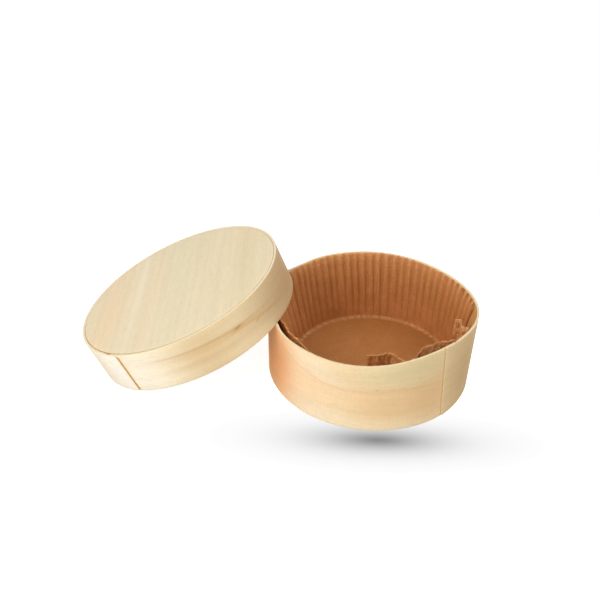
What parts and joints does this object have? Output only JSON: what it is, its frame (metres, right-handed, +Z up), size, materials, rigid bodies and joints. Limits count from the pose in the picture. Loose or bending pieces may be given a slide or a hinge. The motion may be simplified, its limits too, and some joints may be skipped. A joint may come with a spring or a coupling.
{
  "type": "cheese box",
  "caption": "Round veneer box: open tray with a fluted paper liner, and its slip-over lid leaning on the tray's rim.",
  "frame": {"origin": "centre of the tray's underside, on the surface that the box stands on", "axes": "+Z up out of the open tray; the lid leans on the rim at the -X side, so X runs along the longest reach; -Y is the side seen in the picture"},
  "size_m": [0.2109, 0.113, 0.067],
  "materials": {
    "tray_veneer": "rotary-cut poplar veneer, unfinished, matt",
    "lid_veneer": "rotary-cut poplar veneer, unfinished, matt",
    "disc_veneer": "sliced poplar veneer, sanded, matt",
    "glue": "dried amber wood glue",
    "liner_paper": "brown greaseproof baking paper, pressed in flutes"
  },
  "bodies": {
    "tray": {"tray_hoop": "tray_veneer", "tray_lap_glue": "glue", "tray_base": "disc_veneer", "tray_base_glue": "glue"},
    "lid": {"lid_hoop": "lid_veneer", "lid_lap_glue": "glue", "lid_disc": "disc_veneer", "lid_disc_glue": "glue"},
    "liner": {"paper_liner": "liner_paper"}
  },
  "joints": [
    {"name": "lid_lift", "type": "slide", "parent": "tray", "child": "lid", "axis": [-0.3999, 0, 0.9166], "range_m": [0, 0.09]},
    {"name": "liner_lift", "type": "slide", "parent": "tray", "child": "liner", "axis": [0, 0, 1], "range_m": [0, 0.045]}
  ],
  "couplings": [
    {"joint": "liner_lift", "follows": "lid_lift", "ratio": 0.5}
  ]
}
